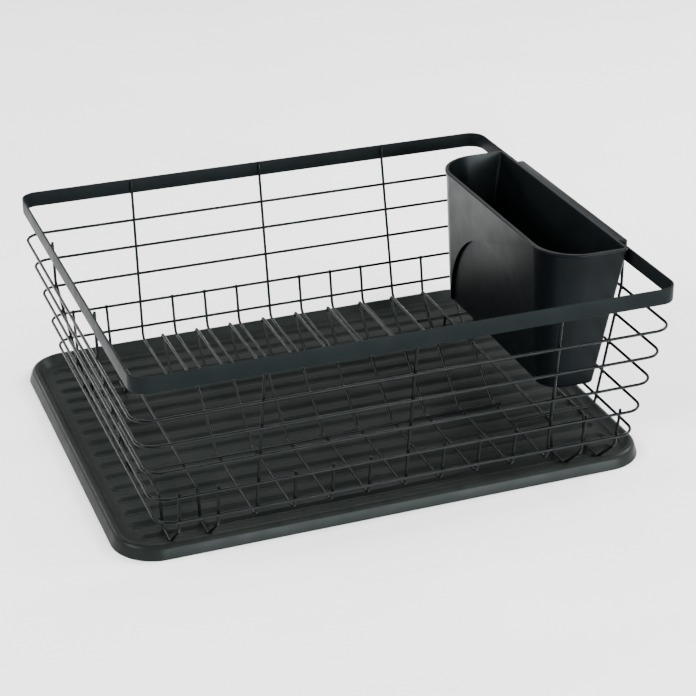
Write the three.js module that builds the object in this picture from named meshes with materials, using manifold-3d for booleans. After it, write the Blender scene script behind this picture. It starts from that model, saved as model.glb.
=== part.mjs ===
// Dish drying rack: a wire basket with a flat rim band, a utensil holder hooked over
// the rim's right side, and a grooved drip tray under the basket.
// Millimetres. X is the long way of the basket, -Y its front, +Z up.
// Z = 0 is the surface that the tray stands on.

import * as THREE from 'three';
import { mergeVertices } from 'three/addons/utils/BufferGeometryUtils.js';
import Module from 'manifold-3d';

const wasm = await Module();
wasm.setup();

// ---------------------------------------------------------------- clearances
const weldGap = 0.3;            // between two pieces that touch or are welded
const restGap = 0.3;            // between a loose piece and what it stands on

// ---------------------------------------------------------------- rim band
const rimLength = 430;          // outside, along X
const rimDepth = 376;           // outside, along Y
const rimCornerRadius = 14;
const bandHeight = 13;
const bandThickness = 1.6;

// ---------------------------------------------------------------- basket wires
const wireRadius = 1.2;
const wireSides = 8;
const bendSteps = 3;            // facets in each bend
const wireBendRadius = 7;       // inside the bends of the long U shapes
const basketHeight = 143;       // floor wires' centre line up to the band's top edge
const wallInset = 21.5;         // front and back walls lean in this much down to the floor
const sideInset = 19.5;         // left and right walls lean in this much
const sideKneeDrop = 34;        // side wires run plumb this far below the band's top edge
const ringHeights = [106, 82.5, 58, 32.5, 10];     // above the floor wires, top ring first
const ringCornerRadius = 15;
const stopRing = 3;             // ring that the short cross wires end on
const wireNub = 2.5;            // short wires stand this far above that ring
const longWireDrop = 2;         // long cross wires end this far under the band's top edge
const longWireSplay = 3;        // and their tops stand this much nearer the middle
const sideWireRise = 1;         // side wires end this far over the band's top edge

// ---------------------------------------------------------------- cross wires
const wirePitch = 30;
const plateWireCount = 9;       // the ones bent into plate dividers
const footWiresPerSide = 2;     // the ones with feet, outside the dividers
const longWireEvery = 4;        // every fourth divider wire reaches the rim
const dividerRise = 36;         // dividers' tops above the floor wires
const dividerFootDepth = 119;   // between the feet of one divider, along Y
const dividerTopDepth = 111.5;  // its straight top
const dividerLean = 41.5;       // its top lies this far behind its feet
const dividerBendRadius = 2.6;
const footHeight = 24.7;        // floor wires above the foot wires
const footRiserDepth = 109;     // from the middle to the top of the step down
const footRiserSlant = 4;
const footLength = 23;
const footBendRadius = 2.6;

// ---------------------------------------------------------------- side wires
const leftWireSpread = 71;      // from the middle to each left side wire
const rightWireSpread = 102;
const sideWireOverrun = 3;      // past the wire they end on

// ---------------------------------------------------------------- drip tray
const trayLength = 445;         // outside, at the foot of the skirt
const trayDepth = 360;
const trayCornerRadius = 36;
const trayHeight = 11;
const trayFlare = 3.5;          // the skirt spreads this much from lip to foot
const lipWidth = 4.5;
const innerWallSlope = 5;       // the inner wall spreads this much from floor to lip
const trayWall = 1.8;
const trayFloor = 2;            // under the grooves
const grooveDepth = 2;
const grooveCount = 16;
const groovePitch = 20;
const grooveWidth = 11;
const grooveFloorWidth = 4;
const grooveEndMargin = 6;      // groove ends to the inner wall
const basketForward = 27;       // the basket stands this far forward of the tray's middle

// ---------------------------------------------------------------- utensil holder
const holderLength = 239;       // along the rim, at its mouth
const holderWidth = 67;         // across, at its mouth
const holderShift = 6;          // towards the back
const holderDepth = 123.5;      // mouth down to its underside
const holderEndTaper = 14;      // each end leans in
const holderFaceTaper = 5.5;    // the broad inner face leans in
const holderWallTaper = 18;     // the face along the basket wall leans in with the wall
const holderMouthRadius = 36;
const holderFootRadius = 20;
const holderBackRadius = 3;     // the two corners against the basket wall
const holderWall = 2;
const holderWireClearance = 0.6;
const beadWidth = 1.2;
const beadHeight = 2.6;
const hookThickness = 2.4;
const hookTopClearance = 0.4;
const hookSideClearance = 0.8;
const hookReach = 9;            // outer leg, down from the hook's top
const hookEndClearance = 5;     // to the side wires at both ends
const archRadius = 88;
const archDepth = 3;
const archDrop = 1.5;           // arch centre below the holder's underside
const drainRadius = 1.75;
const drainRows = 2;
const drainsPerRow = 5;
const drainPitch = 36;
const drainRowGap = 14;

// ---------------------------------------------------------------- derived places
const trayTop = trayFloor + grooveDepth;
const footZ = trayTop + restGap + wireRadius;
const floorZ = footZ + footHeight;
const rimZ = floorZ + basketHeight;
const bandInnerX = rimLength / 2 - bandThickness;
const bandInnerY = rimDepth / 2 - bandThickness;
const wireTopX = bandInnerX - weldGap - wireRadius;
const wireTopY = bandInnerY - weldGap - wireRadius;
const crossing = 2 * wireRadius + weldGap;
const sideFloorZ = floorZ + crossing;
const firstWire = -footWiresPerSide;
const lastWire = plateWireCount - 1 + footWiresPerSide;
const lastPlateWire = plateWireCount - 1;
const holderFaceX = bandInnerX - weldGap - 2 * wireRadius - holderWireClearance;
const hookOuterX = rimLength / 2 + hookSideClearance + hookThickness;
const holderTopZ = rimZ + hookTopClearance + hookThickness;
const holderFootZ = holderTopZ - holderDepth;

const wireX = (index) => (index - (plateWireCount - 1) / 2) * wirePitch;

// Half depth of the front and back walls' wires at a height: plumb behind the band,
// then a straight lean down to the floor.
function wallY(z) {
  const bandBottom = rimZ - bandHeight;
  const t = Math.min(Math.max((bandBottom - z) / (bandBottom - floorZ), 0), 1);
  return wireTopY - wallInset * t;
}

// Half length of the side walls' wires at a height: plumb down to the knee, then straight.
function wallX(z) {
  const knee = rimZ - sideKneeDrop;
  const t = Math.max((knee - z) / (knee - floorZ), 0);
  return wireTopX - sideInset * t;
}

// ---------------------------------------------------------------- geometry helpers

// A route given station by station: two stations on a straight, more in a bend.
class WireRoute extends THREE.Curve {
  constructor(stations, closed = false) {
    super();
    this.stations = stations;
    this.closed = closed;
  }

  index(u) {
    return Math.round(u * (this.stations.length - 1));
  }

  getPointAt(u, target = new THREE.Vector3()) {
    return target.copy(this.stations[this.index(u)]);
  }

  getTangentAt(u, target = new THREE.Vector3()) {
    const last = this.stations.length - 1;
    const i = this.index(u);
    const before = i > 0 ? i - 1 : (this.closed ? last - 1 : 0);
    const after = i < last ? i + 1 : (this.closed ? 1 : last);
    const here = this.stations[i];
    const arriving = here.clone().sub(this.stations[before]).normalize();
    const leaving = this.stations[after].clone().sub(here).normalize();
    return target.copy(arriving).add(leaving).normalize();
  }
}

// Rounds the corners of a route. Each inner point is replaced by an arc of its radius.
function roundRoute(corners, radii) {
  const stations = [corners[0].clone()];
  for (let i = 1; i < corners.length - 1; i++) {
    const back = corners[i - 1].clone().sub(corners[i]).normalize();
    const ahead = corners[i + 1].clone().sub(corners[i]).normalize();
    const half = back.angleTo(ahead) / 2;
    const cut = radii[i - 1] / Math.tan(half);
    const centre = back.clone().add(ahead).normalize()
      .multiplyScalar(radii[i - 1] / Math.sin(half)).add(corners[i]);
    const start = back.multiplyScalar(cut).add(corners[i]).sub(centre);
    const end = ahead.multiplyScalar(cut).add(corners[i]).sub(centre);
    const axis = start.clone().cross(end).normalize();
    const sweep = start.angleTo(end);
    for (let s = 0; s <= bendSteps; s++) {
      stations.push(start.clone().applyAxisAngle(axis, sweep * s / bendSteps).add(centre));
    }
  }
  stations.push(corners[corners.length - 1].clone());
  return stations;
}

function wireSection() {
  const section = new THREE.Shape();
  for (let i = 0; i < wireSides; i++) {
    const angle = (i + 0.5) / wireSides * 2 * Math.PI;
    const point = new THREE.Vector2(Math.cos(angle), Math.sin(angle)).multiplyScalar(wireRadius);
    if (i === 0) section.moveTo(point.x, point.y);
    else section.lineTo(point.x, point.y);
  }
  section.closePath();
  return section;
}

function openWire(stations) {
  const extrudePath = new WireRoute(stations);
  return new THREE.ExtrudeGeometry(wireSection(), { steps: stations.length - 1, extrudePath });
}

// A wire that closes on itself keeps only its sides: its two ends are one.
function closedWire(stations) {
  const extrudePath = new WireRoute(stations, true);
  const swept = new THREE.ExtrudeGeometry(wireSection(), { steps: stations.length - 1, extrudePath });
  const sides = swept.groups[1];
  const kept = swept.attributes.position.array.slice(3 * sides.start, 3 * (sides.start + sides.count));
  const geometry = new THREE.BufferGeometry();
  geometry.setAttribute('position', new THREE.BufferAttribute(kept, 3));
  return geometry;
}

// A rounded rectangle as a closed loop of points, anticlockwise from the right front corner.
// Corner radii: right front, right back, left back, left front.
function roundedLoop({ left, right, front, back, radii, steps = 6 }) {
  const corners = [[right, front, -1, 1], [right, back, -1, -1], [left, back, 1, -1], [left, front, 1, 1]];
  const points = [];
  corners.forEach(([x, y, inX, inY], i) => {
    const arc = new THREE.Path();
    const start = (i - 1) * Math.PI / 2;
    arc.absarc(x + inX * radii[i], y + inY * radii[i], radii[i], start, start + Math.PI / 2, false);
    points.push(...arc.getPoints(steps));
  });
  return points;
}

function centredLoop(length, depth, radius, steps) {
  return roundedLoop({
    left: -length / 2, right: length / 2, front: -depth / 2, back: depth / 2,
    radii: [radius, radius, radius, radius], steps,
  });
}

// A closed solid through loops of equal point count, each at its own height.
function loft(levels) {
  const count = levels[0].loop.length;
  const positions = levels.flatMap(({ loop, z }) => loop.flatMap((p) => [p.x, p.y, z]));
  const index = [];
  for (let level = 0; level < levels.length - 1; level++) {
    for (let i = 0; i < count; i++) {
      const a = level * count + i;
      const b = level * count + (i + 1) % count;
      index.push(a, b, b + count, a, b + count, a + count);
    }
  }
  const lid = (levels.length - 1) * count;
  for (const [a, b, c] of THREE.ShapeUtils.triangulateShape(levels[0].loop, [])) {
    index.push(c, b, a);
  }
  for (const [a, b, c] of THREE.ShapeUtils.triangulateShape(levels[levels.length - 1].loop, [])) {
    index.push(lid + a, lid + b, lid + c);
  }
  const geometry = new THREE.BufferGeometry();
  geometry.setAttribute('position', new THREE.Float32BufferAttribute(positions, 3));
  geometry.setIndex(index);
  return geometry;
}

function toSolid(geometry) {
  const bare = geometry.clone();
  bare.deleteAttribute('normal');
  bare.deleteAttribute('uv');
  const merged = mergeVertices(bare, 1e-4);
  return new wasm.Manifold(new wasm.Mesh({
    numProp: 3,
    vertProperties: new Float32Array(merged.attributes.position.array),
    triVerts: new Uint32Array(merged.index.array),
  }));
}

function toGeometry(solid) {
  const mesh = solid.getMesh();
  const geometry = new THREE.BufferGeometry();
  geometry.setAttribute('position', new THREE.BufferAttribute(mesh.vertProperties, 3));
  geometry.setIndex(new THREE.BufferAttribute(mesh.triVerts, 1));
  return geometry;
}

function boxBetween(low, high) {
  const size = high.map((value, i) => value - low[i]);
  const box = new THREE.BoxGeometry(...size);
  return box.translate(...low.map((value, i) => value + size[i] / 2));
}

// ---------------------------------------------------------------- rim band
function rimBand() {
  const outer = new THREE.Shape(centredLoop(rimLength, rimDepth, rimCornerRadius));
  const inset = 2 * bandThickness;
  const inner = centredLoop(rimLength - inset, rimDepth - inset, rimCornerRadius - bandThickness);
  outer.holes.push(new THREE.Path(inner));
  const band = new THREE.ExtrudeGeometry(outer, { depth: bandHeight, bevelEnabled: false });
  return band.translate(0, 0, rimZ - bandHeight);
}

// ---------------------------------------------------------------- ring wires
function ringWire(height) {
  const z = floorZ + height;
  const halfX = wallX(z) + crossing;
  const halfY = wallY(z) + crossing;
  const loop = centredLoop(2 * halfX, 2 * halfY, ringCornerRadius, bendSteps);
  const stations = [...loop, loop[0]].map((p) => new THREE.Vector3(p.x, p.y, z));
  return closedWire(stations);
}

// ---------------------------------------------------------------- cross wires
// A cross wire is drawn in the Y-Z plane as corners { y, z, radius, inward }, back to front.
// `inward` moves a corner towards the basket's middle along X.
function crossWire(index, corners) {
  const x = wireX(index);
  const points = corners.map(({ y, z, inward = 0 }) => new THREE.Vector3(x - Math.sign(x) * inward, y, z));
  const radii = corners.slice(1, -1).map((corner) => corner.radius);
  return openWire(roundRoute(points, radii));
}

const mirrored = (corners) => corners.map((corner) => ({ ...corner, y: -corner.y })).reverse();

// The top end of a wall, from the outside in.
function wallTop(reachesRim) {
  if (reachesRim) {
    const bandBottom = rimZ - bandHeight;
    return [
      { y: wallY(rimZ), z: rimZ - longWireDrop, inward: longWireSplay },
      { y: wallY(bandBottom), z: bandBottom, radius: wireBendRadius, inward: longWireSplay },
    ];
  }
  const topZ = floorZ + ringHeights[stopRing] + wireNub;
  return [{ y: wallY(topZ), z: topZ }];
}

// Wall, floor, a slanted plate divider, floor, wall.
function plateWire(index) {
  const wallFoot = { y: wallY(floorZ), z: floorZ, radius: wireBendRadius };
  const wall = [...wallTop(index % longWireEvery === 0), wallFoot];
  const dividerZ = floorZ + dividerRise;
  const footY = dividerFootDepth / 2;
  const divider = [
    { y: footY, z: floorZ, radius: dividerBendRadius },
    { y: dividerLean + dividerTopDepth / 2, z: dividerZ, radius: dividerBendRadius },
    { y: dividerLean - dividerTopDepth / 2, z: dividerZ, radius: dividerBendRadius },
    { y: -footY, z: floorZ, radius: dividerBendRadius },
  ];
  return crossWire(index, [...wall, ...divider, ...mirrored(wall)]);
}

// Wall, foot on the tray, a step up to the floor, and the same again.
function footWire(index) {
  const riserFootY = footRiserDepth + footRiserSlant;
  const half = [
    ...wallTop(false),
    { y: wallY(floorZ), z: floorZ, radius: wireBendRadius },
    { y: riserFootY + footLength, z: footZ, radius: footBendRadius },
    { y: riserFootY, z: footZ, radius: footBendRadius },
    { y: footRiserDepth, z: floorZ, radius: footBendRadius },
  ];
  return crossWire(index, [...half, ...mirrored(half)]);
}

// ---------------------------------------------------------------- side wires
// Down a side wall from the rim, then inward on top of the floor wires.
function sideWire(side, y, endX) {
  const knee = rimZ - sideKneeDrop;
  const corners = [
    new THREE.Vector3(side * wallX(rimZ), y, rimZ + sideWireRise),
    new THREE.Vector3(side * wallX(knee), y, knee),
    new THREE.Vector3(side * wallX(sideFloorZ), y, sideFloorZ),
    new THREE.Vector3(endX, y, sideFloorZ),
  ];
  return openWire(roundRoute(corners, [wireBendRadius, wireBendRadius]));
}

// ---------------------------------------------------------------- drip tray
// Half length of the tray's floor at a distance from its middle, inside the round corners.
function floorHalfLength(y, halfLength, halfDepth, radius) {
  const past = Math.max(Math.abs(y) - (halfDepth - radius), 0);
  return halfLength - radius + Math.sqrt(Math.max(radius ** 2 - past ** 2, 0));
}

function trayGroove(y, floorLength, floorDepth, floorRadius) {
  const edge = Math.abs(y) + grooveWidth / 2;
  const reach = floorHalfLength(edge, floorLength / 2, floorDepth / 2, floorRadius) - grooveEndMargin;
  const slope = grooveWidth - grooveFloorWidth;
  const bottom = centredLoop(2 * reach - slope, grooveFloorWidth, grooveFloorWidth / 2, 4);
  const mouth = centredLoop(2 * reach, grooveWidth, grooveWidth / 2, 4);
  const groove = loft([
    { loop: bottom, z: trayFloor },
    { loop: mouth, z: trayTop },
    { loop: mouth, z: trayTop + 1 },
  ]);
  return groove.translate(0, y, 0);
}

function dripTray() {
  const lipLength = trayLength - 2 * trayFlare;
  const lipDepth = trayDepth - 2 * trayFlare;
  const mouthLength = lipLength - 2 * lipWidth;
  const mouthDepth = lipDepth - 2 * lipWidth;
  const floorLength = mouthLength - 2 * innerWallSlope;
  const floorDepth = mouthDepth - 2 * innerWallSlope;
  const floorRadius = trayCornerRadius - trayFlare - lipWidth - innerWallSlope;
  const loop = (length, depth) => {
    const inset = (trayLength - length) / 2;
    return centredLoop(length, depth, trayCornerRadius - inset, 8);
  };
  const tall = (inset, z) => loft([
    { loop: loop(trayLength - inset, trayDepth - inset), z: -1 },
    { loop: loop(trayLength - inset, trayDepth - inset), z: 0 },
    { loop: loop(lipLength - inset, lipDepth - inset), z },
  ]);
  const skirt = loft([
    { loop: loop(trayLength, trayDepth), z: 0 },
    { loop: loop(lipLength, lipDepth), z: trayHeight },
  ]);
  const basin = loft([
    { loop: loop(floorLength, floorDepth), z: trayTop },
    { loop: loop(mouthLength, mouthDepth), z: trayHeight },
    { loop: loop(mouthLength, mouthDepth), z: trayHeight + 1 },
  ]);
  const pan = loft([
    { loop: loop(floorLength, floorDepth), z: -2 },
    { loop: loop(floorLength + trayWall, floorDepth + trayWall), z: 0 },
    { loop: loop(mouthLength + trayWall, mouthDepth + trayWall), z: trayHeight - trayWall + 1 },
  ]);
  const underside = toSolid(tall(2 * trayWall, trayHeight - trayWall)).subtract(toSolid(pan));
  let tray = toSolid(skirt).subtract(toSolid(basin)).subtract(underside);
  for (let i = 0; i < grooveCount; i++) {
    const y = (i - (grooveCount - 1) / 2) * groovePitch;
    tray = tray.subtract(toSolid(trayGroove(y, floorLength, floorDepth, floorRadius)));
  }
  return toGeometry(tray.translate([0, basketForward, 0]));
}

// ---------------------------------------------------------------- utensil holder
// The tub's outline at a share of the way down from its mouth, grown outwards by `grow`
// on its three free sides.
function holderLoop(share, grow, wallGrow = grow) {
  const radius = holderMouthRadius + (holderFootRadius - holderMouthRadius) * share + grow;
  const halfLength = holderLength / 2 - holderEndTaper * share + grow;
  const backRadius = holderBackRadius + Math.min(wallGrow, 0) / 2;
  return roundedLoop({
    left: holderFaceX - holderWidth + holderFaceTaper * share - grow,
    right: holderFaceX - holderWallTaper * share + wallGrow,
    front: holderShift - halfLength,
    back: holderShift + halfLength,
    radii: [backRadius, backRadius, radius, radius],
  });
}

function holderTub(grow, wallGrow, lowZ, highZ) {
  const share = (z) => (holderTopZ - z) / holderDepth;
  return toSolid(loft([
    { loop: holderLoop(share(lowZ), grow, wallGrow), z: lowZ },
    { loop: holderLoop(share(highZ), grow, wallGrow), z: highZ },
  ]));
}

// A round plug across the tub's inner face, from below its underside.
function archPlug(radius, deepX) {
  const outsideX = holderFaceX - holderWidth - 10;
  const plug = new THREE.CylinderGeometry(radius, radius, deepX - outsideX, 36);
  plug.rotateZ(Math.PI / 2);
  return toSolid(plug.translate((deepX + outsideX) / 2, holderShift, holderFootZ - archDrop));
}

// The arch's floor leans in with the tub's face: a wedge outside it cuts to one depth.
function archCut(radius, depth) {
  const faceX = (z) => holderFaceX - holderWidth + holderFaceTaper * (holderTopZ - z) / holderDepth;
  const face = new THREE.Shape();
  const low = holderFootZ - 2 * archDrop;
  face.moveTo(faceX(low) - 20, low);
  face.lineTo(faceX(low) + depth, low);
  face.lineTo(faceX(holderTopZ) + depth, holderTopZ);
  face.lineTo(faceX(holderTopZ) - 20, holderTopZ);
  const wedge = new THREE.ExtrudeGeometry(face, { depth: 2 * radius + 20, bevelEnabled: false });
  wedge.rotateX(Math.PI / 2);
  wedge.translate(0, holderShift + radius + 10, 0);
  return archPlug(radius, holderFaceX).intersect(toSolid(wedge));
}

function rimHook() {
  const reach = rightWireSpread - wireRadius - hookEndClearance;
  const plateZ = holderTopZ - hookThickness;
  const plate = boxBetween([holderFaceX - holderWall, -reach, plateZ], [hookOuterX, reach, holderTopZ]);
  const leg = boxBetween(
    [hookOuterX - hookThickness, -reach, holderTopZ - hookReach],
    [hookOuterX, reach, plateZ + hookThickness / 2],
  );
  return toSolid(plate).add(toSolid(leg));
}

function drainHole(row, column) {
  const x = holderFaceX - holderWidth / 2 + (holderFaceTaper - holderWallTaper) / 2;
  const hole = new THREE.CylinderGeometry(drainRadius, drainRadius, 4 * holderWall, 12);
  hole.rotateX(Math.PI / 2);
  const offsetX = (row - (drainRows - 1) / 2) * drainRowGap;
  const offsetY = (column - (drainsPerRow - 1) / 2) * drainPitch;
  return toSolid(hole.translate(x + offsetX, holderShift + offsetY, holderFootZ + holderWall / 2));
}

function utensilHolder() {
  const tub = holderTub(0, 0, holderFootZ, holderTopZ);
  const bead = holderTub(beadWidth, 0, holderTopZ - beadHeight, holderTopZ);
  const boss = archCut(archRadius + holderWall, archDepth + holderWall);
  const cavity = holderTub(-holderWall, -holderWall, holderFootZ + holderWall, holderTopZ + 1);
  let holder = tub.add(bead).add(rimHook());
  holder = holder.subtract(cavity.subtract(boss));
  holder = holder.subtract(archCut(archRadius, archDepth));
  for (let row = 0; row < drainRows; row++) {
    for (let column = 0; column < drainsPerRow; column++) {
      holder = holder.subtract(drainHole(row, column));
    }
  }
  return toGeometry(holder);
}

// ---------------------------------------------------------------- materials
const bandCoat = new THREE.MeshStandardMaterial({ color: 0x2b3133, roughness: 0.5, metalness: 0.3 });
const wireCoat = new THREE.MeshStandardMaterial({ color: 0x24282a, roughness: 0.42, metalness: 0.3 });
const trayPlastic = new THREE.MeshStandardMaterial({ color: 0x2d3233, roughness: 0.55, metalness: 0 });
const holderPlastic = new THREE.MeshStandardMaterial({ color: 0x2f3538, roughness: 0.48, metalness: 0 });

// ---------------------------------------------------------------- assembly
const rack = new THREE.Group();

function addPiece(name, geometry, material) {
  const mesh = new THREE.Mesh(geometry, material.clone());
  mesh.name = name;
  rack.add(mesh);
}

addPiece('drip_tray', dripTray(), trayPlastic);
addPiece('rim_band', rimBand(), bandCoat);
ringHeights.forEach((height, i) => addPiece(`ring_wire_${i + 1}`, ringWire(height), wireCoat));
for (let index = 0; index <= lastPlateWire; index++) {
  addPiece(`plate_wire_${index + 1}`, plateWire(index), wireCoat);
}
for (let i = 0; i < footWiresPerSide; i++) {
  addPiece(`foot_wire_left_${i + 1}`, footWire(firstWire + i), wireCoat);
  addPiece(`foot_wire_right_${i + 1}`, footWire(lastWire - i), wireCoat);
}
const sideEndX = wireX(lastPlateWire);
addPiece('side_wire_left_front', sideWire(-1, -leftWireSpread, sideEndX + sideWireOverrun), wireCoat);
addPiece('side_wire_left_back', sideWire(-1, leftWireSpread, sideEndX + sideWireOverrun), wireCoat);
addPiece('side_wire_right_front', sideWire(1, -rightWireSpread, sideEndX - sideWireOverrun), wireCoat);
addPiece('side_wire_right_back', sideWire(1, rightWireSpread, sideEndX - sideWireOverrun), wireCoat);
addPiece('utensil_holder', utensilHolder(), holderPlastic);

// The origin lies under the middle of the whole rack.
const lowX = -Math.max(trayLength, rimLength) / 2;
const highX = Math.max(hookOuterX, trayLength / 2);
const lowY = Math.min(-rimDepth / 2, basketForward - trayDepth / 2);
const highY = Math.max(rimDepth / 2, basketForward + trayDepth / 2);
rack.position.set(-(lowX + highX) / 2, -(lowY + highY) / 2, 0);

export default rack;
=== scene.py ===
"""Looks of the dish drying rack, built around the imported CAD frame.

Lengths are millimetres in the row frame until a mesh is made. Places come from the CAD
nodes' boxes; the constants below are the sizes inside a node that its box doesn't give.
"""
import math

import bpy
from mathutils import Matrix, Vector


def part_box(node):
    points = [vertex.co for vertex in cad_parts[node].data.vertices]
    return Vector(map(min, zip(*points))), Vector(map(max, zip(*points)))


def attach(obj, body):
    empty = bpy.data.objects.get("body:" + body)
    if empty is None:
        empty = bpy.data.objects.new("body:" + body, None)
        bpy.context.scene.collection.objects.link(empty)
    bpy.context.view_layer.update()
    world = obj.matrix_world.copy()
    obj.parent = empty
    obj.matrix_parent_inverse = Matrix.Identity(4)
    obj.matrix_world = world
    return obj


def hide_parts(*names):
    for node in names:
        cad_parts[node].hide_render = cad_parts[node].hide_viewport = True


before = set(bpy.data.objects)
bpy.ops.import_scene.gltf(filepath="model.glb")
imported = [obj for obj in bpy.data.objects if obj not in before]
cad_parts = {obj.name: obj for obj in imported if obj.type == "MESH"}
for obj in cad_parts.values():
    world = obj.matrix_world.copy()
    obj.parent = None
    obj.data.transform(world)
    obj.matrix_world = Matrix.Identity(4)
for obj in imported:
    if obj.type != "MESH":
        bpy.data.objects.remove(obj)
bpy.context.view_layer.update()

MM = 0.001

# ---------------------------------------------------------------- sizes
WIRE_RADIUS = 1.2
WIRE_SIDES = 16
CAD_HALF_WIDTH = WIRE_RADIUS * math.cos(math.pi / 8)    # the CAD wires have eight sides
BEND_STEPS = 10
WELD_GAP = 0.3
CROSSING = 2 * WIRE_RADIUS + WELD_GAP
END_DOME = 0.35                 # a cut wire end is only slightly domed
DOME_STEPS = (25, 50, 75)       # degrees round a domed end
SAME_PLACE = 1                  # a wire nearer the middle than this leans to neither side

# Half sizes of the weld beads, along X, Y and Z
WELD_RING_FRONT = (1.35, 0.8, 1.0)
WELD_RING_SIDE = (0.8, 1.35, 1.0)
WELD_FLOOR = (1.2, 1.2, 0.8)
WELD_BAND_FRONT = (1.1, 0.5, 1.5)
WELD_BAND_SIDE = (0.5, 1.1, 1.5)
BAND_FRONT_WELD_DROPS = (3.5, 8.5)
BAND_SIDE_WELD_DROPS = (4, 9)

BAND_THICKNESS = 1.6
BAND_EDGE = 0.5
BAND_EDGE_STEPS = 4
BAND_CORNER_STEPS = 14
RIM_CORNER = 14
RING_CORNER = 15

RING_WIRES = 5
WALL_INSET = 21.5
SIDE_INSET = 19.5
SIDE_KNEE_DROP = 34
WALL_BEND = 7
WIRE_NUB = 2.5
LONG_WIRE_DROP = 2
LONG_WIRE_SPLAY = 3
LONG_WIRE_EVERY = 4
PLATE_WIRES = 9
FEET_PER_SIDE = 2
DIVIDER_FOOT_DEPTH = 119
DIVIDER_TOP_DEPTH = 111.5
DIVIDER_LEAN = 41.5
DIVIDER_BEND = 2.6
FOOT_RISER_DEPTH = 109
FOOT_RISER_SLANT = 4
FOOT_LENGTH = 23
LEFT_WIRE_SPREAD = 71
RIGHT_WIRE_SPREAD = 102

TRAY_CORNER = 36
TRAY_FLARE = 3.5
TRAY_LIP = 4.5
TRAY_SLOPE = 5
TRAY_WALL = 1.8
TRAY_FLOOR = 2
TRAY_CORNER_STEPS = 16
TRAY_SECTION_STEPS = 6
TRAY_FLOOR_JOIN = 7             # how far past the slope the section ends and flat caps begin
TRAY_FLOOR_ROUND = 2.5
TRAY_MOUTH_ROUND = 1.4
TRAY_LIP_ROUND = 5.0
TRAY_HEM_ROUNDS = (0.5, 0.3)    # outer and inner edge of the skirt's foot
TRAY_UNDER_LIP_ROUND = 0.5
TRAY_UNDER_LIP_INSET = 0.4
TRAY_UNDER_SLOPE_ROUND = 0.8
TRAY_SHARP_ANGLE = 35
GROOVE_DEPTH = 2
GROOVE_COUNT = 16
GROOVE_PITCH = 20
GROOVE_WIDTH = 11
GROOVE_FLOOR_WIDTH = 4
GROOVE_END_MARGIN = 6
GROOVE_ROUNDS = (3.2, 2.4)      # at the groove's floor and at its rim
GROOVE_RUN_OUT = 2              # a point this far past the rim, only to aim the rim's round
GROOVE_LIFT = 0.015             # a cutter is this share taller, so no face lies in the floor
GROOVE_END_STEPS = 16
CUT_CLEARANCE = 1               # how far a cutter goes past the surface that it opens

HOLDER_END_TAPER = 14
HOLDER_FACE_TAPER = 5.5
HOLDER_WALL_TAPER = 18
HOLDER_WIDTH = 67
MOUTH_RADIUS = 36
FOOT_RADIUS = 20
BACK_RADIUS = 3
HOLDER_WALL = 2
HOLDER_EDGE = 3.2               # the round between the tub's walls and its underside
BEAD_WIDTH = 1.2
BEAD_HEIGHT = 2.6
# The bead's section: how far below the mouth, and how far out, as shares of its height and width
BEAD_SECTION = ((1, 0.35), (0.72, 0.92), (0.45, 1), (0.15, 0.8), (0, 0.25))
HOLDER_STEPS = 18
HOLDER_EDGE_ANGLES = (0, 18, 36, 54, 72, 90)
HOLDER_SHARP_ANGLE = 40
HOLDER_BEVEL = 0.45
HOLDER_BEVEL_SEGMENTS = 3
HOLDER_BEVEL_ANGLE = 38
# The round inside the tub's foot: height over its floor, and how far in
CAVITY_ROUND = ((0, 1.6), (0.5, 0.6), (1.6, 0))
HOOK_THICKNESS = 2.4
HOOK_REACH = 9
HOOK_END_CLEARANCE = 5
HOOK_STEPS = 5
HOOK_ROUNDS = (0.4, 0.3, 0.9, 1.8)      # inner bend, the leg's two edges, outer bend
ARCH_RADIUS = 88
ARCH_DEPTH = 3
ARCH_DROP = 1.5
ARCH_STEPS = 72
ARCH_CUT_BACK = -20             # where the arch's cutter starts, in front of the face
DRAIN_RADIUS = 1.75
DRAIN_ROWS = 2
DRAINS_PER_ROW = 5
DRAIN_PITCH = 36
DRAIN_ROW_GAP = 14
DRAIN_SIDES = 20

COOL_GLOSS = (0.84, 0.97, 1.0, 1.0)
NEUTRAL_GLOSS = (0.94, 1.0, 0.99, 1.0)


# ---------------------------------------------------------------- places from the CAD
def box_mm(node):
    low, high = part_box(node)
    return low / MM, high / MM


rim_low, rim_high = box_mm("rim_band")
tray_low, tray_high = box_mm("drip_tray")
holder_low, holder_high = box_mm("utensil_holder")
basket_x = (rim_low.x + rim_high.x) / 2
basket_y = (rim_low.y + rim_high.y) / 2
rim_z = rim_high.z
band_bottom = rim_low.z
floor_z = box_mm("plate_wire_2")[0].z + CAD_HALF_WIDTH
divider_z = box_mm("plate_wire_2")[1].z - CAD_HALF_WIDTH
foot_z = box_mm("foot_wire_left_1")[0].z + CAD_HALF_WIDTH
side_floor_z = floor_z + CROSSING
wire_top_x = (rim_high.x - rim_low.x) / 2 - BAND_THICKNESS - WELD_GAP - WIRE_RADIUS
wire_top_y = (rim_high.y - rim_low.y) / 2 - BAND_THICKNESS - WELD_GAP - WIRE_RADIUS


def wall_y(z):
    """Half depth between the front and back walls' wires at a height."""
    lean = (band_bottom - z) / (band_bottom - floor_z)
    return wire_top_y - WALL_INSET * min(max(lean, 0), 1)


def wall_x(z):
    """Half length between the side walls' wires at a height."""
    knee = rim_z - SIDE_KNEE_DROP
    return wire_top_x - SIDE_INSET * max((knee - z) / (knee - floor_z), 0)


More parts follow.
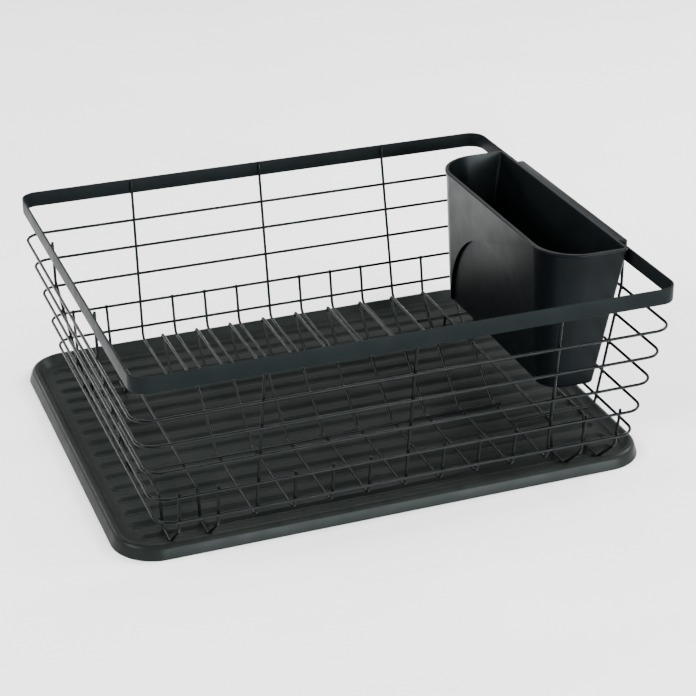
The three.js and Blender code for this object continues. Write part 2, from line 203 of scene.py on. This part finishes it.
# ---------------------------------------------------------------- mesh helpers
class Shape:
    """Vertices in millimetres and faces, gathered before they become one mesh."""

    def __init__(self):
        self.points = []
        self.faces = []

    def loft(self, loops, closed=False, start_cap=False, end_cap=False):
        """Joins loops of equal point count. Each loop closes on itself."""
        first = len(self.points)
        count = len(loops[0])
        for loop in loops:
            self.points.extend(Vector(p) for p in loop)
        spans = len(loops) if closed else len(loops) - 1
        for row in range(spans):
            a = first + row * count
            b = first + (row + 1) % len(loops) * count
            for i in range(count):
                j = (i + 1) % count
                self.faces.append((a + i, a + j, b + j, b + i))
        if start_cap:
            self.faces.append(tuple(first + i for i in reversed(range(count))))
        if end_cap:
            last = first + (len(loops) - 1) * count
            self.faces.append(tuple(last + i for i in range(count)))

    def blob(self, centre, size, rows=6, around=10):
        """A weld's smooth bead of metal, an ellipsoid with these half sizes."""
        loops = []
        for row in range(1, rows):
            polar = math.pi * row / rows
            loops.append([
                Vector(centre) + Vector((
                    size[0] * math.sin(polar) * math.cos(2 * math.pi * i / around),
                    size[1] * math.sin(polar) * math.sin(2 * math.pi * i / around),
                    -size[2] * math.cos(polar),
                ))
                for i in range(around)
            ])
        self.loft(loops, start_cap=True, end_cap=True)

    def to_object(self, name, smooth=True):
        mesh = bpy.data.meshes.new(name)
        mesh.from_pydata([p * MM for p in self.points], [], self.faces)
        mesh.validate()
        mesh.polygons.foreach_set("use_smooth", [smooth] * len(mesh.polygons))
        piece = bpy.data.objects.new(name, mesh)
        bpy.context.scene.collection.objects.link(piece)
        return piece


def rounded_rectangle(left, right, front, back, radii, steps, z):
    """A loop of points, anticlockwise. Radii: right front, right back, left back, left front."""
    corners = (
        (right - radii[0], front + radii[0], radii[0], -90),
        (right - radii[1], back - radii[1], radii[1], 0),
        (left + radii[2], back - radii[2], radii[2], 90),
        (left + radii[3], front + radii[3], radii[3], 180),
    )
    loop = []
    for x, y, radius, start in corners:
        for step in range(steps + 1):
            angle = math.radians(start + 90 * step / steps)
            loop.append((x + radius * math.cos(angle), y + radius * math.sin(angle), z))
    return loop


def round_corners(corners, radii, steps):
    """A route through corners with an arc at each inner one."""
    route = [Vector(corners[0])]
    for before, corner, after, radius in zip(corners, corners[1:], corners[2:], radii):
        corner = Vector(corner)
        back = (Vector(before) - corner).normalized()
        ahead = (Vector(after) - corner).normalized()
        half = back.angle(ahead) / 2
        cut = radius / math.tan(half)
        centre = corner + (back + ahead).normalized() * radius / math.sin(half)
        start = corner + back * cut - centre
        end = corner + ahead * cut - centre
        turn = start.angle(end)
        for step in range(steps + 1):
            share = step / steps
            arm = start * math.sin(turn * (1 - share)) + end * math.sin(turn * share)
            route.append(centre + arm / math.sin(turn))
    route.append(Vector(corners[-1]))
    return route


def tube(shape, route, closed=False):
    """Sweeps a round wire along a route. Open ends are domed."""
    count = len(route)
    tangents = []
    for i in range(count):
        if closed:
            before, after = route[i - 1], route[(i + 1) % count]
        else:
            before, after = route[max(i - 1, 0)], route[min(i + 1, count - 1)]
        arriving = (route[i] - before).normalized()
        leaving = (after - route[i]).normalized()
        tangents.append((arriving + leaving).normalized())
    side = tangents[0].orthogonal().normalized()
    rings = []
    for i in range(count):
        if i > 0:
            side = tangents[i - 1].rotation_difference(tangents[i]) @ side
        side = (side - tangents[i] * side.dot(tangents[i])).normalized()
        rings.append((route[i], side.copy(), tangents[i].cross(side), WIRE_RADIUS))
    if not closed:
        dome = [(math.sin(math.radians(a)), math.cos(math.radians(a))) for a in DOME_STEPS]
        start, end = rings[0], rings[-1]
        for height, width in dome:
            spot = start[0] - tangents[0] * WIRE_RADIUS * height * END_DOME
            rings.insert(0, (spot, start[1], start[2], WIRE_RADIUS * width))
            spot = end[0] + tangents[-1] * WIRE_RADIUS * height * END_DOME
            rings.append((spot, end[1], end[2], WIRE_RADIUS * width))
    loops = []
    for centre, across, up, radius in rings:
        loops.append([
            centre + (across * math.cos(angle) + up * math.sin(angle)) * radius
            for angle in (2 * math.pi * k / WIRE_SIDES for k in range(WIRE_SIDES))
        ])
    shape.loft(loops, closed=closed, start_cap=not closed, end_cap=not closed)


def solid(name, loops):
    shape = Shape()
    shape.loft(loops, start_cap=True, end_cap=True)
    return shape.to_object(name, smooth=False)


def combine(target, other, operation):
    modifier = target.modifiers.new(operation, "BOOLEAN")
    modifier.operation = operation
    modifier.solver = "EXACT"
    modifier.object = other
    apply_modifiers(target)
    bpy.data.objects.remove(other)
    return target


def apply_modifiers(target):
    graph = bpy.context.evaluated_depsgraph_get()
    baked = bpy.data.meshes.new_from_object(target.evaluated_get(graph))
    target.modifiers.clear()
    target.data = baked


# ---------------------------------------------------------------- materials
class Nodes:
    """A small builder for one material's node tree."""

    def __init__(self, name):
        self.material = bpy.data.materials.new(name)
        self.material.use_nodes = True
        self.tree = self.material.node_tree
        self.shader = self.tree.nodes["Principled BSDF"]
        self.place = self.add("ShaderNodeTexCoord").outputs["Object"]

    def feed(self, node, inputs):
        """Links a socket, or sets a constant, for each named input."""
        for key, value in inputs.items():
            socket = node.inputs[key.replace("_", " ")]
            if isinstance(value, bpy.types.NodeSocket):
                self.tree.links.new(value, socket)
            else:
                socket.default_value = value

    def add(self, kind, **inputs):
        node = self.tree.nodes.new(kind)
        self.feed(node, inputs)
        return node

    def noise(self, scale, detail=2.0, roughness=0.5):
        node = self.add(
            "ShaderNodeTexNoise", Vector=self.place, Scale=scale, Detail=detail,
            Roughness=roughness)
        return node.outputs["Fac"]

    def cells(self, scale):
        return self.add("ShaderNodeTexVoronoi", Vector=self.place, Scale=scale).outputs["Distance"]

    def spread(self, value, low, high, from_low=0.3, from_high=0.7):
        node = self.add(
            "ShaderNodeMapRange", Value=value, From_Min=from_low, From_Max=from_high,
            To_Min=low, To_Max=high)
        return node.outputs["Result"]

    def ramp(self, value, stops):
        node = self.add("ShaderNodeValToRGB", Fac=value)
        elements = node.color_ramp.elements
        while len(elements) < len(stops):
            elements.new(1.0)
        for element, (position, colour) in zip(elements, stops):
            element.position = position
            element.color = (*colour, 1.0)
        return node.outputs["Color"]

    def bump(self, height, distance, strength, normal=None):
        node = self.add("ShaderNodeBump", Height=height, Distance=distance, Strength=strength)
        if normal is not None:
            self.tree.links.new(normal, node.inputs["Normal"])
        return node.outputs["Normal"]

    def set(self, **values):
        self.feed(self.shader, values)
        return self.material


def powder_coat(name, dark, light, low_rough, high_rough, peel, gloss, tint):
    """A cured black coat on steel: faint orange peel, and gloss that drifts a little."""
    n = Nodes(name)
    colour = n.ramp(n.noise(42, 3), [(0.3, dark), (0.7, light)])
    rough = n.spread(n.noise(95, 2), low_rough, high_rough)
    fine = n.bump(n.noise(2600, 2), 0.00004, peel)
    normal = n.bump(n.noise(620, 1), 0.00008, peel, fine)
    return n.set(
        Base_Color=colour, Roughness=rough, Normal=normal, Metallic=0.0,
        Specular_IOR_Level=gloss, Specular_Tint=tint)


def moulded_plastic(name, dark, light, low_rough, high_rough, grain, gloss):
    """Injection-moulded polypropylene: a fine spark-eroded grain under a satin skin."""
    n = Nodes(name)
    colour = n.ramp(n.noise(18, 4, 0.55), [(0.28, dark), (0.72, light)])
    rough = n.spread(n.noise(60, 3), low_rough, high_rough)
    fine = n.bump(n.cells(1500), 0.00005, grain)
    normal = n.bump(n.noise(110, 2), 0.0002, grain * 0.6, fine)
    return n.set(
        Base_Color=colour, Roughness=rough, Normal=normal, Metallic=0.0,
        Specular_IOR_Level=gloss, Specular_Tint=COOL_GLOSS)


wire_coat = powder_coat(
    "wire_coat", dark=(0.0012, 0.0016, 0.0017), light=(0.0026, 0.0033, 0.0034),
    low_rough=0.16, high_rough=0.24, peel=0.14, gloss=0.065, tint=NEUTRAL_GLOSS)
band_coat = powder_coat(
    "band_coat", dark=(0.0034, 0.0046, 0.0049), light=(0.0048, 0.0062, 0.0065),
    low_rough=0.38, high_rough=0.46, peel=0.22, gloss=0.028, tint=COOL_GLOSS)
tray_plastic = moulded_plastic(
    "tray_plastic", dark=(0.0050, 0.0064, 0.0058), light=(0.0092, 0.0106, 0.0096),
    low_rough=0.30, high_rough=0.40, grain=0.25, gloss=0.042)
holder_plastic = moulded_plastic(
    "holder_plastic", dark=(0.0008, 0.0013, 0.0016), light=(0.0014, 0.0021, 0.0025),
    low_rough=0.30, high_rough=0.38, grain=0.22, gloss=0.075)


def finish_piece(shape_or_object, name, material, slot, body, *nodes):
    piece = shape_or_object
    if isinstance(piece, Shape):
        piece = piece.to_object(name)
    piece.data.materials.clear()
    piece.data.materials.append(material)
    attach(piece, body)
    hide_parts(*nodes)
    return piece


# ---------------------------------------------------------------- basket
cross_wires = {}                # node name: place along the row, where 0 is the first divider
first_index = -FEET_PER_SIDE
last_index = PLATE_WIRES - 1 + FEET_PER_SIDE
for index in range(PLATE_WIRES):
    cross_wires[f"plate_wire_{index + 1}"] = index
for step in range(FEET_PER_SIDE):
    cross_wires[f"foot_wire_left_{step + 1}"] = first_index + step
    cross_wires[f"foot_wire_right_{step + 1}"] = last_index - step

pitch = box_mm("plate_wire_3")[0].x - box_mm("plate_wire_2")[0].x
short_top_z = sum(v.z for v in box_mm("ring_wire_4")) / 2 + WIRE_NUB


def wire_x(index):
    return basket_x + (index - (PLATE_WIRES - 1) / 2) * pitch


def towards_middle(x):
    """1 or -1 for the way from a wire to the basket's middle, 0 for the middle wire."""
    return math.copysign(1, basket_x - x) if abs(x - basket_x) > SAME_PLACE else 0


def is_long(index):
    return 0 <= index < PLATE_WIRES and index % LONG_WIRE_EVERY == 0


def wall_top(index):
    """The upper end of a cross wire's wall part: corners of (inward, y, z, bend radius)."""
    if is_long(index):
        top_z = rim_z - LONG_WIRE_DROP
        return [
            (LONG_WIRE_SPLAY, wall_y(rim_z), top_z, 0),
            (LONG_WIRE_SPLAY, wall_y(band_bottom), band_bottom, WALL_BEND),
        ]
    return [(0, wall_y(short_top_z), short_top_z, 0)]


def cross_wire_corners(index):
    wall = wall_top(index) + [(0, wall_y(floor_z), floor_z, WALL_BEND)]
    if 0 <= index < PLATE_WIRES:
        foot_y = DIVIDER_FOOT_DEPTH / 2
        middle = [
            (0, foot_y, floor_z, DIVIDER_BEND),
            (0, DIVIDER_LEAN + DIVIDER_TOP_DEPTH / 2, divider_z, DIVIDER_BEND),
            (0, DIVIDER_LEAN - DIVIDER_TOP_DEPTH / 2, divider_z, DIVIDER_BEND),
            (0, -foot_y, floor_z, DIVIDER_BEND),
        ]
    else:
        riser_foot = FOOT_RISER_DEPTH + FOOT_RISER_SLANT
        back = [
            (0, riser_foot + FOOT_LENGTH, foot_z, DIVIDER_BEND),
            (0, riser_foot, foot_z, DIVIDER_BEND),
            (0, FOOT_RISER_DEPTH, floor_z, DIVIDER_BEND),
        ]
        middle = back + [(0, -y, z, bend) for _, y, z, bend in reversed(back)]
    front = [(inward, -y, z, bend) for inward, y, z, bend in reversed(wall)]
    return wall + middle + front


def build_cross_wire(name, index):
    shape = Shape()
    x = wire_x(index)
    towards = towards_middle(x)
    corners = cross_wire_corners(index)
    points = [(x + towards * inward, basket_y + y, z) for inward, y, z, _ in corners]
    tube(shape, round_corners(points, [c[3] for c in corners[1:-1]], BEND_STEPS))
    if is_long(index):
        for end in (-1, 1):
            spot_y = basket_y + end * (wire_top_y + WIRE_RADIUS)
            weld_x = x + towards * LONG_WIRE_SPLAY
            for drop in BAND_FRONT_WELD_DROPS:
                shape.blob((weld_x, spot_y, rim_z - drop), WELD_BAND_FRONT)
    finish_piece(shape, name + "_round", wire_coat, "wire_coat", "basket", name)


def build_ring(number):
    name = f"ring_wire_{number}"
    low, high = box_mm(name)
    z = (low.z + high.z) / 2
    half_x = (high.x - low.x) / 2 - CAD_HALF_WIDTH
    half_y = (high.y - low.y) / 2 - CAD_HALF_WIDTH
    shape = Shape()
    route = rounded_rectangle(
        basket_x - half_x, basket_x + half_x, basket_y - half_y, basket_y + half_y,
        [RING_CORNER] * 4, BEND_STEPS, z)
    tube(shape, [Vector(p) for p in route], closed=True)
    weld = (half_y + wall_y(z)) / 2
    for index in range(first_index, last_index + 1):
        if is_long(index) or z < short_top_z:
            x = wire_x(index)
            if is_long(index):
                rise = (z - floor_z) / (band_bottom - floor_z)
                x += towards_middle(x) * LONG_WIRE_SPLAY * rise
            for end in (-1, 1):
                shape.blob((x, basket_y + end * weld, z), WELD_RING_FRONT)
    weld = (half_x + wall_x(z)) / 2
    for side, spread in ((-1, LEFT_WIRE_SPREAD), (1, RIGHT_WIRE_SPREAD)):
        for end in (-1, 1):
            shape.blob((basket_x + side * weld, basket_y + end * spread, z), WELD_RING_SIDE)
    finish_piece(shape, name + "_round", wire_coat, "wire_coat", "basket", name)


def build_side_wire(name, side, y):
    low, high = box_mm(name)
    far_x = high.x if side < 0 else low.x
    knee = rim_z - SIDE_KNEE_DROP
    corners = [
        (basket_x + side * wall_x(rim_z), basket_y + y, high.z),
        (basket_x + side * wall_x(knee), basket_y + y, knee),
        (basket_x + side * wall_x(side_floor_z), basket_y + y, side_floor_z),
        (far_x, basket_y + y, side_floor_z),
    ]
    shape = Shape()
    end_inset = END_DOME * WIRE_RADIUS
    corners[0] = (corners[0][0], corners[0][1], corners[0][2] - end_inset)
    corners[3] = (far_x + side * end_inset, corners[3][1], corners[3][2])
    tube(shape, round_corners(corners, [WALL_BEND, WALL_BEND], BEND_STEPS))
    for index in range(first_index, last_index + 1):
        x = wire_x(index)
        if min(low.x, high.x) < x < max(low.x, high.x):
            shape.blob((x, basket_y + y, (floor_z + side_floor_z) / 2), WELD_FLOOR)
    for drop in BAND_SIDE_WELD_DROPS:
        spot_x = basket_x + side * (wire_top_x + WIRE_RADIUS)
        shape.blob((spot_x, basket_y + y, rim_z - drop), WELD_BAND_SIDE)
    finish_piece(shape, name + "_round", wire_coat, "wire_coat", "basket", name)


def band_section():
    """The strip's outline as (inset from the outer face, height), with rounded edges."""
    outline = []
    edge = BAND_EDGE
    corners = (
        (edge, band_bottom + edge, 180),
        (BAND_THICKNESS - edge, band_bottom + edge, 270),
        (BAND_THICKNESS - edge, rim_z - edge, 0),
        (edge, rim_z - edge, 90),
    )
    for inset, z, start in corners:
        for step in range(BAND_EDGE_STEPS + 1):
            angle = math.radians(start + 90 * step / BAND_EDGE_STEPS)
            outline.append((inset + edge * math.cos(angle), z + edge * math.sin(angle)))
    return outline


def build_band():
    shape = Shape()
    loops = []
    for inset, z in band_section():
        loops.append(rounded_rectangle(
            rim_low.x + inset, rim_high.x - inset, rim_low.y + inset, rim_high.y - inset,
            [RIM_CORNER - inset] * 4, BAND_CORNER_STEPS, z))
    shape.loft(loops, closed=True)
    finish_piece(shape, "rim_band_rounded", band_coat, "band_coat", "basket", "rim_band")


build_band()
for number in range(1, RING_WIRES + 1):
    build_ring(number)
for name, index in cross_wires.items():
    build_cross_wire(name, index)
build_side_wire("side_wire_left_front", -1, -LEFT_WIRE_SPREAD)
build_side_wire("side_wire_left_back", -1, LEFT_WIRE_SPREAD)
build_side_wire("side_wire_right_front", 1, -RIGHT_WIRE_SPREAD)
build_side_wire("side_wire_right_back", 1, RIGHT_WIRE_SPREAD)


# ---------------------------------------------------------------- drip tray
def tray_loop(inset, z):
    return rounded_rectangle(
        tray_low.x + inset, tray_high.x - inset, tray_low.y + inset, tray_high.y - inset,
        [TRAY_CORNER - inset] * 4, TRAY_CORNER_STEPS, z)


def build_tray():
    """A moulded sheet with a skirt, a rolled lip and a grooved floor."""
    lip = TRAY_FLARE
    mouth = lip + TRAY_LIP
    floor = mouth + TRAY_SLOPE
    top = tray_high.z
    land = TRAY_FLOOR + GROOVE_DEPTH
    under_lip = top - TRAY_WALL
    corners = [
        (floor + TRAY_FLOOR_JOIN, land, 0),
        (floor, land, TRAY_FLOOR_ROUND),
        (mouth, top, TRAY_MOUTH_ROUND),
        (lip, top, TRAY_LIP_ROUND),
        (0, 0, TRAY_HEM_ROUNDS[0]),
        (TRAY_WALL, 0, TRAY_HEM_ROUNDS[1]),
        (lip + TRAY_WALL, under_lip, TRAY_UNDER_LIP_ROUND),
        (mouth - TRAY_UNDER_LIP_INSET, under_lip, TRAY_UNDER_LIP_ROUND),
        (floor - TRAY_WALL / 2, 0, TRAY_UNDER_SLOPE_ROUND),
        (floor + TRAY_FLOOR_JOIN, 0, 0),
    ]
    points = [(inset, z, 0) for inset, z, _ in corners]
    section = round_corners(points, [c[2] for c in corners[1:-1]], TRAY_SECTION_STEPS)
    body = solid("drip_tray_moulded", [tray_loop(p.x, p.y) for p in reversed(section)])
    floor_half_x = (tray_high.x - tray_low.x) / 2 - floor
    floor_half_y = (tray_high.y - tray_low.y) / 2 - floor
    grooves = Shape()
    for i in range(GROOVE_COUNT):
        y = (i - (GROOVE_COUNT - 1) / 2) * GROOVE_PITCH
        add_groove(grooves, y, floor_half_x, floor_half_y, TRAY_CORNER - floor)
    combine(body, grooves.to_object("grooves", smooth=False), "DIFFERENCE")
    body.data.polygons.foreach_set("use_smooth", [True] * len(body.data.polygons))
    body.data.set_sharp_from_angle(angle=math.radians(TRAY_SHARP_ANGLE))
    finish_piece(body, body.name, tray_plastic, "tray_plastic", "tray", "drip_tray")


def add_groove(shape, y, half_x, half_y, corner):
    """A long shallow channel with round ends. Its rim rolls over into the floor."""
    middle_x = (tray_low.x + tray_high.x) / 2
    middle_y = (tray_low.y + tray_high.y) / 2 + y
    edge = abs(y) + GROOVE_WIDTH / 2
    past = max(edge - (half_y - corner), 0)
    reach = half_x - corner + math.sqrt(max(corner ** 2 - past ** 2, 0)) - GROOVE_END_MARGIN
    spine = reach - GROOVE_WIDTH / 2
    land = TRAY_FLOOR + GROOVE_DEPTH
    outline = [
        (GROOVE_FLOOR_WIDTH / 4, TRAY_FLOOR, 0),
        (GROOVE_FLOOR_WIDTH / 2, TRAY_FLOOR, 0),
        (GROOVE_WIDTH / 2, land, 0),
        (GROOVE_WIDTH / 2 + GROOVE_RUN_OUT, land, 0),
    ]
    profile = round_corners(outline, GROOVE_ROUNDS, TRAY_SECTION_STEPS)[:-1]
    loops = []
    for width, z in [(p.x, p.y) for p in profile] + [(profile[-1].x, land + CUT_CLEARANCE)]:
        lifted_z = z + GROOVE_LIFT * (z - TRAY_FLOOR)
        loop = []
        for end, start in ((1, -90), (-1, 90)):
            for step in range(GROOVE_END_STEPS + 1):
                turn = 180 * step / GROOVE_END_STEPS
                x = middle_x + end * spine + end * width * math.cos(math.radians(turn - 90))
                y = middle_y + width * math.sin(math.radians(start + turn))
                loop.append((x, y, lifted_z))
        loops.append(loop)
    shape.loft(loops, start_cap=True, end_cap=True)


build_tray()


# ---------------------------------------------------------------- utensil holder
holder_top = holder_high.z
holder_foot = holder_low.z
holder_depth = holder_top - holder_foot
holder_middle_y = (holder_low.y + holder_high.y) / 2
mouth_left = holder_low.x + BEAD_WIDTH
mouth_right = mouth_left + HOLDER_WIDTH
mouth_half_length = (holder_high.y - holder_low.y) / 2 - BEAD_WIDTH
hook_outer_x = holder_high.x


def holder_loop(z, grow, wall_grow=None):
    """The tub's outline at a height, grown outwards. wall_grow is for the side on the basket."""
    wall_grow = grow if wall_grow is None else wall_grow
    share = (holder_top - z) / holder_depth
    radius = MOUTH_RADIUS + (FOOT_RADIUS - MOUTH_RADIUS) * share + grow
    half_length = mouth_half_length - HOLDER_END_TAPER * share + grow
    back_radius = BACK_RADIUS + min(wall_grow, 0) / 2
    return rounded_rectangle(
        mouth_left + HOLDER_FACE_TAPER * share - grow,
        mouth_right - HOLDER_WALL_TAPER * share + wall_grow,
        holder_middle_y - half_length, holder_middle_y + half_length,
        [back_radius, back_radius, radius, radius], HOLDER_STEPS, z)


def arch_cutter(name, radius, depth):
    """A slab of a disc that stands across the tub's inner face and leans with it."""
    centre_z = holder_foot - ARCH_DROP
    slope = HOLDER_FACE_TAPER / holder_depth
    loops = []
    for offset in (ARCH_CUT_BACK, depth):
        loop = []
        for k in range(ARCH_STEPS):
            angle = 2 * math.pi * k / ARCH_STEPS
            z = centre_z + radius * math.sin(angle)
            face_x = mouth_left + slope * (holder_top - z)
            loop.append((face_x + offset, holder_middle_y + radius * math.cos(angle), z))
        loops.append(loop)
    return solid(name, loops)


def hook_solid():
    """The flange from the tub's wall over the rim, with its short outer leg."""
    reach = RIGHT_WIRE_SPREAD - WIRE_RADIUS - HOOK_END_CLEARANCE
    inner_x = mouth_right - HOLDER_WALL
    leg_foot = holder_top - HOOK_REACH
    plate_foot = holder_top - HOOK_THICKNESS
    outline = [
        (inner_x, 0, plate_foot),
        (hook_outer_x - HOOK_THICKNESS, 0, plate_foot),
        (hook_outer_x - HOOK_THICKNESS, 0, leg_foot),
        (hook_outer_x, 0, leg_foot),
        (hook_outer_x, 0, holder_top),
        (inner_x, 0, holder_top),
    ]
    section = round_corners(outline, HOOK_ROUNDS, HOOK_STEPS)
    loops = [
        [(p.x, basket_y + end * reach, p.z) for p in section]
        for end in (1, -1)
    ]
    return solid("hook", loops)


def drain_cutter():
    middle_x = (mouth_left + mouth_right) / 2 + (HOLDER_FACE_TAPER - HOLDER_WALL_TAPER) / 2
    shape = Shape()
    for row in range(DRAIN_ROWS):
        for column in range(DRAINS_PER_ROW):
            x = middle_x + (row - (DRAIN_ROWS - 1) / 2) * DRAIN_ROW_GAP
            y = holder_middle_y + (column - (DRAINS_PER_ROW - 1) / 2) * DRAIN_PITCH
            loops = [
                [
                    (x + DRAIN_RADIUS * math.cos(a), y + DRAIN_RADIUS * math.sin(a), z)
                    for a in (2 * math.pi * k / DRAIN_SIDES for k in range(DRAIN_SIDES))
                ]
                for z in (holder_foot - HOLDER_WALL, holder_foot + 2 * HOLDER_WALL)
            ]
            shape.loft(loops, start_cap=True, end_cap=True)
    return shape.to_object("drains", smooth=False)


def build_holder():
    """A tub with a beaded mouth, a hook over the rim, an arched recess and drain holes."""
    rounds = [math.radians(a) for a in HOLDER_EDGE_ANGLES]
    foot_loops = [
        holder_loop(
            holder_foot + HOLDER_EDGE * (1 - math.sin(a)),
            -HOLDER_EDGE * (1 - math.cos(a)))
        for a in reversed(rounds)
    ]
    tub = solid("tub", foot_loops + [holder_loop(holder_top, 0)])
    bead_loops = [
        holder_loop(holder_top - BEAD_HEIGHT * below, BEAD_WIDTH * out, 0)
        for below, out in BEAD_SECTION
    ]
    combine(tub, solid("bead", bead_loops), "UNION")
    combine(tub, hook_solid(), "UNION")
    cavity_loops = [
        holder_loop(holder_foot + HOLDER_WALL + height, -HOLDER_WALL - inset)
        for height, inset in CAVITY_ROUND
    ]
    cavity_loops.append(holder_loop(holder_top + CUT_CLEARANCE, -HOLDER_WALL))
    cavity = solid("cavity", cavity_loops)
    boss = arch_cutter("boss", ARCH_RADIUS + HOLDER_WALL, ARCH_DEPTH + HOLDER_WALL)
    combine(cavity, boss, "DIFFERENCE")
    combine(tub, cavity, "DIFFERENCE")
    combine(tub, arch_cutter("arch", ARCH_RADIUS, ARCH_DEPTH), "DIFFERENCE")
    combine(tub, drain_cutter(), "DIFFERENCE")
    bevel = tub.modifiers.new("edges", "BEVEL")
    bevel.width = HOLDER_BEVEL * MM
    bevel.segments = HOLDER_BEVEL_SEGMENTS
    bevel.limit_method = "ANGLE"
    bevel.angle_limit = math.radians(HOLDER_BEVEL_ANGLE)
    apply_modifiers(tub)
    tub.data.polygons.foreach_set("use_smooth", [True] * len(tub.data.polygons))
    tub.data.set_sharp_from_angle(angle=math.radians(HOLDER_SHARP_ANGLE))
    tub.name = "utensil_holder_moulded"
    finish_piece(tub, tub.name, holder_plastic, "holder_plastic", "holder", "utensil_holder")


build_holder()


# ---------------------------------------------------------------- studio
FLOOR_HALF = 6000
FLOOR_Z = -0.05
WORLD_COLOUR = (0.97, 0.985, 1.0, 1.0)
WORLD_FADE = (0.25, 0.75)       # sine of the elevation where the fade starts and ends
WORLD_HORIZON = 1.4
WORLD_ZENITH = 0.2

# Area lights: name, size in metres, watts, place, and the height over the origin aimed at
LIGHTS = (
    ("key_left", (1.1, 1.0), 95, (-1.9, -0.2, 1.5), 0.08),
    ("key_right", (1.1, 1.0), 95, (2.0, 0.2, 1.5), 0.05),
    ("strip_back", (2.0, 0.25), 30, (0.2, 1.5, 1.7), 0.08),
    ("low_front", (2.0, 0.6), 190, (0.9, -2.4, 0.40), 0.02),
    ("top_front", (0.6, 0.4), 30, (0.75, -1.0, 1.9), 0.15),
    ("low_back_left", (0.7, 0.35), 16, (-1.1, 2.0, 0.85), 0.15),
)


def build_floor():
    half = FLOOR_HALF
    corners = ((-half, -half), (half, -half), (half, half), (-half, half))
    shape = Shape()
    shape.points = [Vector((x, y, FLOOR_Z)) for x, y in corners]
    shape.faces = [(0, 1, 2, 3)]
    floor = shape.to_object("floor", smooth=False)
    n = Nodes("pale_floor")
    colour = n.ramp(n.noise(6, 2), [(0.3, (0.90, 0.90, 0.90)), (0.7, (0.93, 0.93, 0.93))])
    floor.data.materials.append(n.set(Base_Color=colour, Roughness=0.9, Specular_IOR_Level=0.1))


def add_light(name, size, power, location, aim_height):
    lamp = bpy.data.lights.new(name, "AREA")
    lamp.shape = "RECTANGLE"
    lamp.size, lamp.size_y = size
    lamp.energy = power
    lamp.color = (1.0, 1.0, 1.0)
    source = bpy.data.objects.new(name, lamp)
    bpy.context.scene.collection.objects.link(source)
    source.location = location
    towards = Vector((0, 0, aim_height)) - Vector(location)
    source.rotation_euler = towards.to_track_quat("-Z", "Y").to_euler()


def set_world(horizon, zenith):
    """A pale surround, brighter low down than overhead."""
    world = bpy.data.worlds.new("studio")
    world.use_nodes = True
    tree = world.node_tree
    background = tree.nodes["Background"]
    direction = tree.nodes.new("ShaderNodeTexCoord")
    split = tree.nodes.new("ShaderNodeSeparateXYZ")
    ramp = tree.nodes.new("ShaderNodeMapRange")
    ramp.interpolation_type = "SMOOTHSTEP"
    ramp.inputs["From Min"].default_value = WORLD_FADE[0]
    ramp.inputs["From Max"].default_value = WORLD_FADE[1]
    ramp.inputs["To Min"].default_value = horizon
    ramp.inputs["To Max"].default_value = zenith
    tree.links.new(direction.outputs["Generated"], split.inputs["Vector"])
    tree.links.new(split.outputs["Z"], ramp.inputs["Value"])
    tree.links.new(ramp.outputs["Result"], background.inputs["Strength"])
    background.inputs["Color"].default_value = WORLD_COLOUR
    bpy.context.scene.world = world


# Angles in degrees, lengths in millimetres, from the fit of the photo's camera
CAMERA_YAW = 20.32
CAMERA_PITCH = 26.15
CAMERA_ROLL = -0.46
CAMERA_DISTANCE = 1581.9
CAMERA_LENS = 98.09
CAMERA_AIM_RIGHT = 13.52        # the aim, from the middle of the basket
CAMERA_AIM_UP = 13.67
CAMERA_AIM_HEIGHT = 58.6
SENSOR_WIDTH = 36


def add_camera():
    yaw, pitch = math.radians(CAMERA_YAW), math.radians(CAMERA_PITCH)
    ahead = Vector((
        math.sin(yaw) * math.cos(pitch),
        math.cos(yaw) * math.cos(pitch),
        -math.sin(pitch),
    ))
    level = Vector((math.cos(yaw), -math.sin(yaw), 0))
    upright = level.cross(ahead)
    roll = math.radians(CAMERA_ROLL)
    right = level * math.cos(roll) + upright * math.sin(roll)
    up = upright * math.cos(roll) - level * math.sin(roll)
    middle = Vector((basket_x, basket_y, CAMERA_AIM_HEIGHT))
    aim = middle + right * CAMERA_AIM_RIGHT + up * CAMERA_AIM_UP
    spot = (aim - ahead * CAMERA_DISTANCE) * MM
    lens = bpy.data.cameras.new("camera")
    lens.sensor_width = SENSOR_WIDTH
    lens.lens = CAMERA_LENS
    lens.clip_start = 0.05
    lens.clip_end = 50
    camera = bpy.data.objects.new("camera", lens)
    bpy.context.scene.collection.objects.link(camera)
    camera.matrix_world = Matrix((
        (right.x, up.x, -ahead.x, spot.x),
        (right.y, up.y, -ahead.y, spot.y),
        (right.z, up.z, -ahead.z, spot.z),
        (0, 0, 0, 1),
    ))
    bpy.context.scene.camera = camera


build_floor()
set_world(WORLD_HORIZON, WORLD_ZENITH)
for light in LIGHTS:
    add_light(*light)
add_camera()
